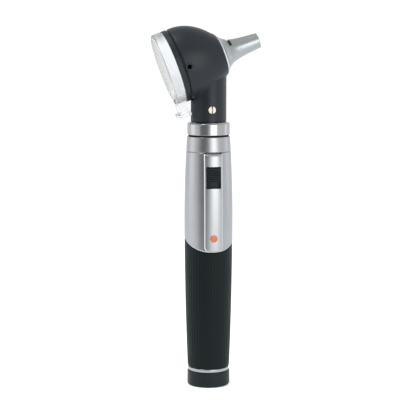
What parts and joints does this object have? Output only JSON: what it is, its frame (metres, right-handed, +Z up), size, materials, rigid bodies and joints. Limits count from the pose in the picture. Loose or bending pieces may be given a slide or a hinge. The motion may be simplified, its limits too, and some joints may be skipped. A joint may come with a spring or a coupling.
{
  "type": "otoscope",
  "caption": "Slim pocket otoscope: battery handle with thumb switch and sprung clip, domed black head, clear swivel window and metal speculum cone.",
  "frame": {"origin": "centre of the end cap's flat bottom face", "axes": "+Z up along the handle, +X towards the speculum cone, clip and switch on -Y"},
  "size_m": [0.0507, 0.0277, 0.1658],
  "materials": {
    "black_cap": "satin moulded",
    "black_grip": "fluted, soft satin",
    "black_head": "fine satin",
    "satin_metal": "satin anodised",
    "chrome": "polished",
    "nickel": "warm nickel plate",
    "tube_metal": "plain drawn",
    "cell_wrap": "printed sleeve left plain",
    "rubber": "matt",
    "cream_plastic": "moulded",
    "gold": "gold plated",
    "enamel": "enamel",
    "clear": "clear acrylic",
    "lens": "clear moulded",
    "fibre": "glass fibre bundle",
    "cone_metal": "satin blasted",
    "black_inner": "dead black"
  },
  "bodies": {
    "handle": {"end_ring": "chrome", "grip_sleeve": "black_grip", "battery_tube": "tube_metal", "battery_lower": "cell_wrap", "battery_upper": "cell_wrap", "handle_shell": "satin_metal", "shell_top_ring": "satin_metal", "collar_seal": "rubber", "locking_collar": "chrome", "contact_block": "cream_plastic", "contact_spring": "chrome", "contact_pin": "gold", "switch_bezel": "black_cap", "switch_contact": "nickel", "clip_pin": "chrome", "clip_spring": "chrome"},
    "spring_end": {"cap_spring": "chrome", "cap_contact": "nickel"},
    "cap": {"end_cap": "black_cap", "cap_seal": "rubber"},
    "switch": {"switch_slider": "black_cap"},
    "clip": {"pocket_clip": "satin_metal", "marker_dot": "enamel"},
    "snap": {"snap_ring": "chrome"},
    "head": {"head_housing": "black_head", "rear_rim": "black_head", "neck_insert": "nickel", "neck_screw": "nickel", "led_module": "tube_metal", "led_lens": "lens", "light_guide": "fibre", "fibre_ring": "fibre", "speculum_cone": "cone_metal", "cone_liner": "black_inner", "port_bush": "black_inner", "window_pin": "chrome", "window_seal": "rubber"},
    "window": {"viewing_window": "clear"}
  },
  "joints": [
    {"name": "window_swivel", "type": "hinge", "parent": "head", "child": "window", "pos_m": [-0.01304, 0, 0.13261], "axis": [0.9397, 0, 0.342], "range_deg": [-75, 75]},
    {"name": "switch_slide", "type": "slide", "parent": "handle", "child": "switch", "axis": [0, 0, -1], "range_m": [0, 0.003]},
    {"name": "cap_turn", "type": "hinge", "parent": "spring_end", "child": "cap", "pos_m": [0, 0, 0], "axis": [0, 0, -1], "range_deg": [0, 1800]},
    {"name": "cap_travel", "type": "slide", "parent": "handle", "child": "spring_end", "axis": [0, 0, -1], "range_m": [0, 0.005]},
    {"name": "head_lift", "type": "slide", "parent": "handle", "child": "snap", "axis": [0, 0, 1], "range_m": [0, 0.009]},
    {"name": "head_turn", "type": "hinge", "parent": "snap", "child": "head", "pos_m": [0, 0, 0.122], "axis": [0, 0, 1], "range_deg": [-90, 90]},
    {"name": "clip_open", "type": "hinge", "parent": "handle", "child": "clip", "pos_m": [0, -0.0096, 0.1063], "axis": [-1, 0, 0], "range_deg": [0, 5], "stiffness_Nm_per_rad": 1.5}
  ],
  "couplings": [
    {"joint": "cap_turn", "follows": "cap_travel", "rad_per_m": 6283.2}
  ]
}
